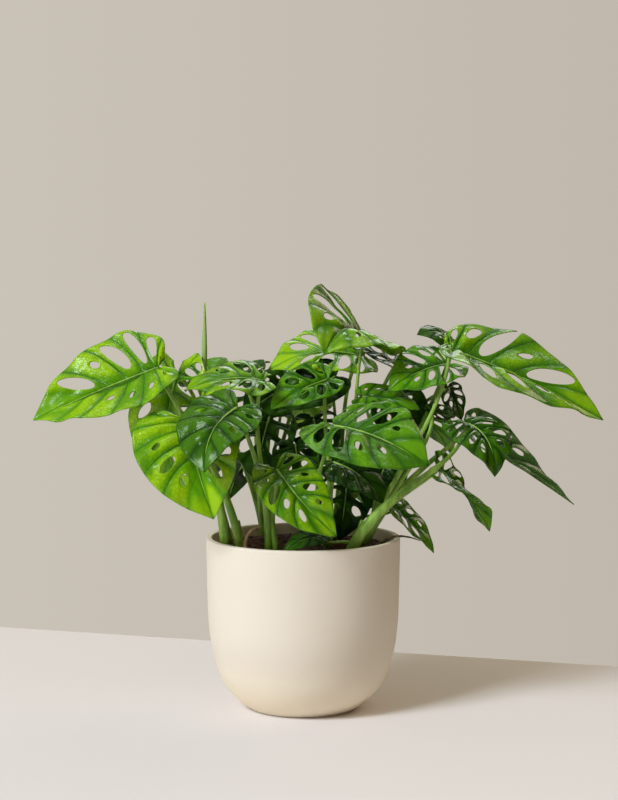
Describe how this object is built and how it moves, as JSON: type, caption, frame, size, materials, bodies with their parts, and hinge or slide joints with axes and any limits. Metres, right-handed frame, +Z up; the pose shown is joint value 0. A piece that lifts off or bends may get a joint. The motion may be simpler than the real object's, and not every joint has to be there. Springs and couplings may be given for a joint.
{
  "type": "potted monstera adansonii",
  "caption": "Bushy climbing house plant with perforated heart-shaped leaves on slender petioles, growing in a round-bottomed matte cream pot.",
  "frame": {"origin": "centre of the pot's flat foot, on the surface it stands on", "axes": "+Z up; -Y is the front, towards the viewer; +X to the viewer's right, along the plant's widest spread"},
  "size_m": [0.4332, 0.2548, 0.326],
  "materials": {
    "pot_glaze": "matte cream glaze, very smooth, faint sheen",
    "potting_soil": "dark brown crumbly bark-based potting mix",
    "stem_green": "fresh green stems and petioles, satin skin",
    "leaf_green": "glossy mid-green leaf skin with sunk veins",
    "young_leaf": "glossy bright yellow-green young leaf skin",
    "shaded_leaf": "glossy dark green leaf skin"
  },
  "bodies": {
    "root": {"leaf_back_left_long": "leaf_green", "leaf_back_left_low": "shaded_leaf", "leaf_back_light": "young_leaf", "leaf_back_middle_long": "young_leaf", "leaf_back_right_long": "leaf_green", "leaf_back_right_low": "leaf_green", "leaf_back_top": "leaf_green", "leaf_front_low": "leaf_green", "leaf_front_soil": "shaded_leaf", "leaf_inner_high": "shaded_leaf", "leaf_inner_left": "shaded_leaf", "leaf_inner_low_right": "shaded_leaf", "leaf_inner_middle": "shaded_leaf", "leaf_inner_right": "shaded_leaf", "leaf_inner_top_left": "shaded_leaf", "leaf_left_dark": "leaf_green", "leaf_left_hanging_back": "young_leaf", "leaf_left_hanging_front": "young_leaf", "leaf_left_large": "young_leaf", "leaf_left_top": "leaf_green", "leaf_left_upright": "leaf_green", "leaf_middle_dark_top": "shaded_leaf", "leaf_middle_front": "leaf_green", "leaf_middle_left_small": "shaded_leaf", "leaf_middle_low_tip": "leaf_green", "leaf_middle_ribbed": "shaded_leaf", "leaf_middle_under_front": "shaded_leaf", "leaf_middle_upright_dark": "shaded_leaf", "leaf_right_arched": "leaf_green", "leaf_right_curled": "leaf_green", "leaf_right_dark_lobes": "shaded_leaf", "leaf_right_dark_long": "leaf_green", "leaf_right_glossy": "leaf_green", "leaf_right_large": "young_leaf", "leaf_right_long_tip": "shaded_leaf", "leaf_right_low": "leaf_green", "leaf_right_small_curled": "shaded_leaf", "leaf_right_underside": "shaded_leaf", "leaf_top": "young_leaf", "new_leaf_rolled": "stem_green", "pot": "pot_glaze", "soil": "potting_soil", "stem_back_left": "stem_green", "stem_back_right": "stem_green", "stem_front": "stem_green", "stem_left": "stem_green", "stem_left_front": "stem_green", "stem_middle": "stem_green", "stem_right": "stem_green", "stem_right_front": "stem_green"}
  },
  "joints": []
}
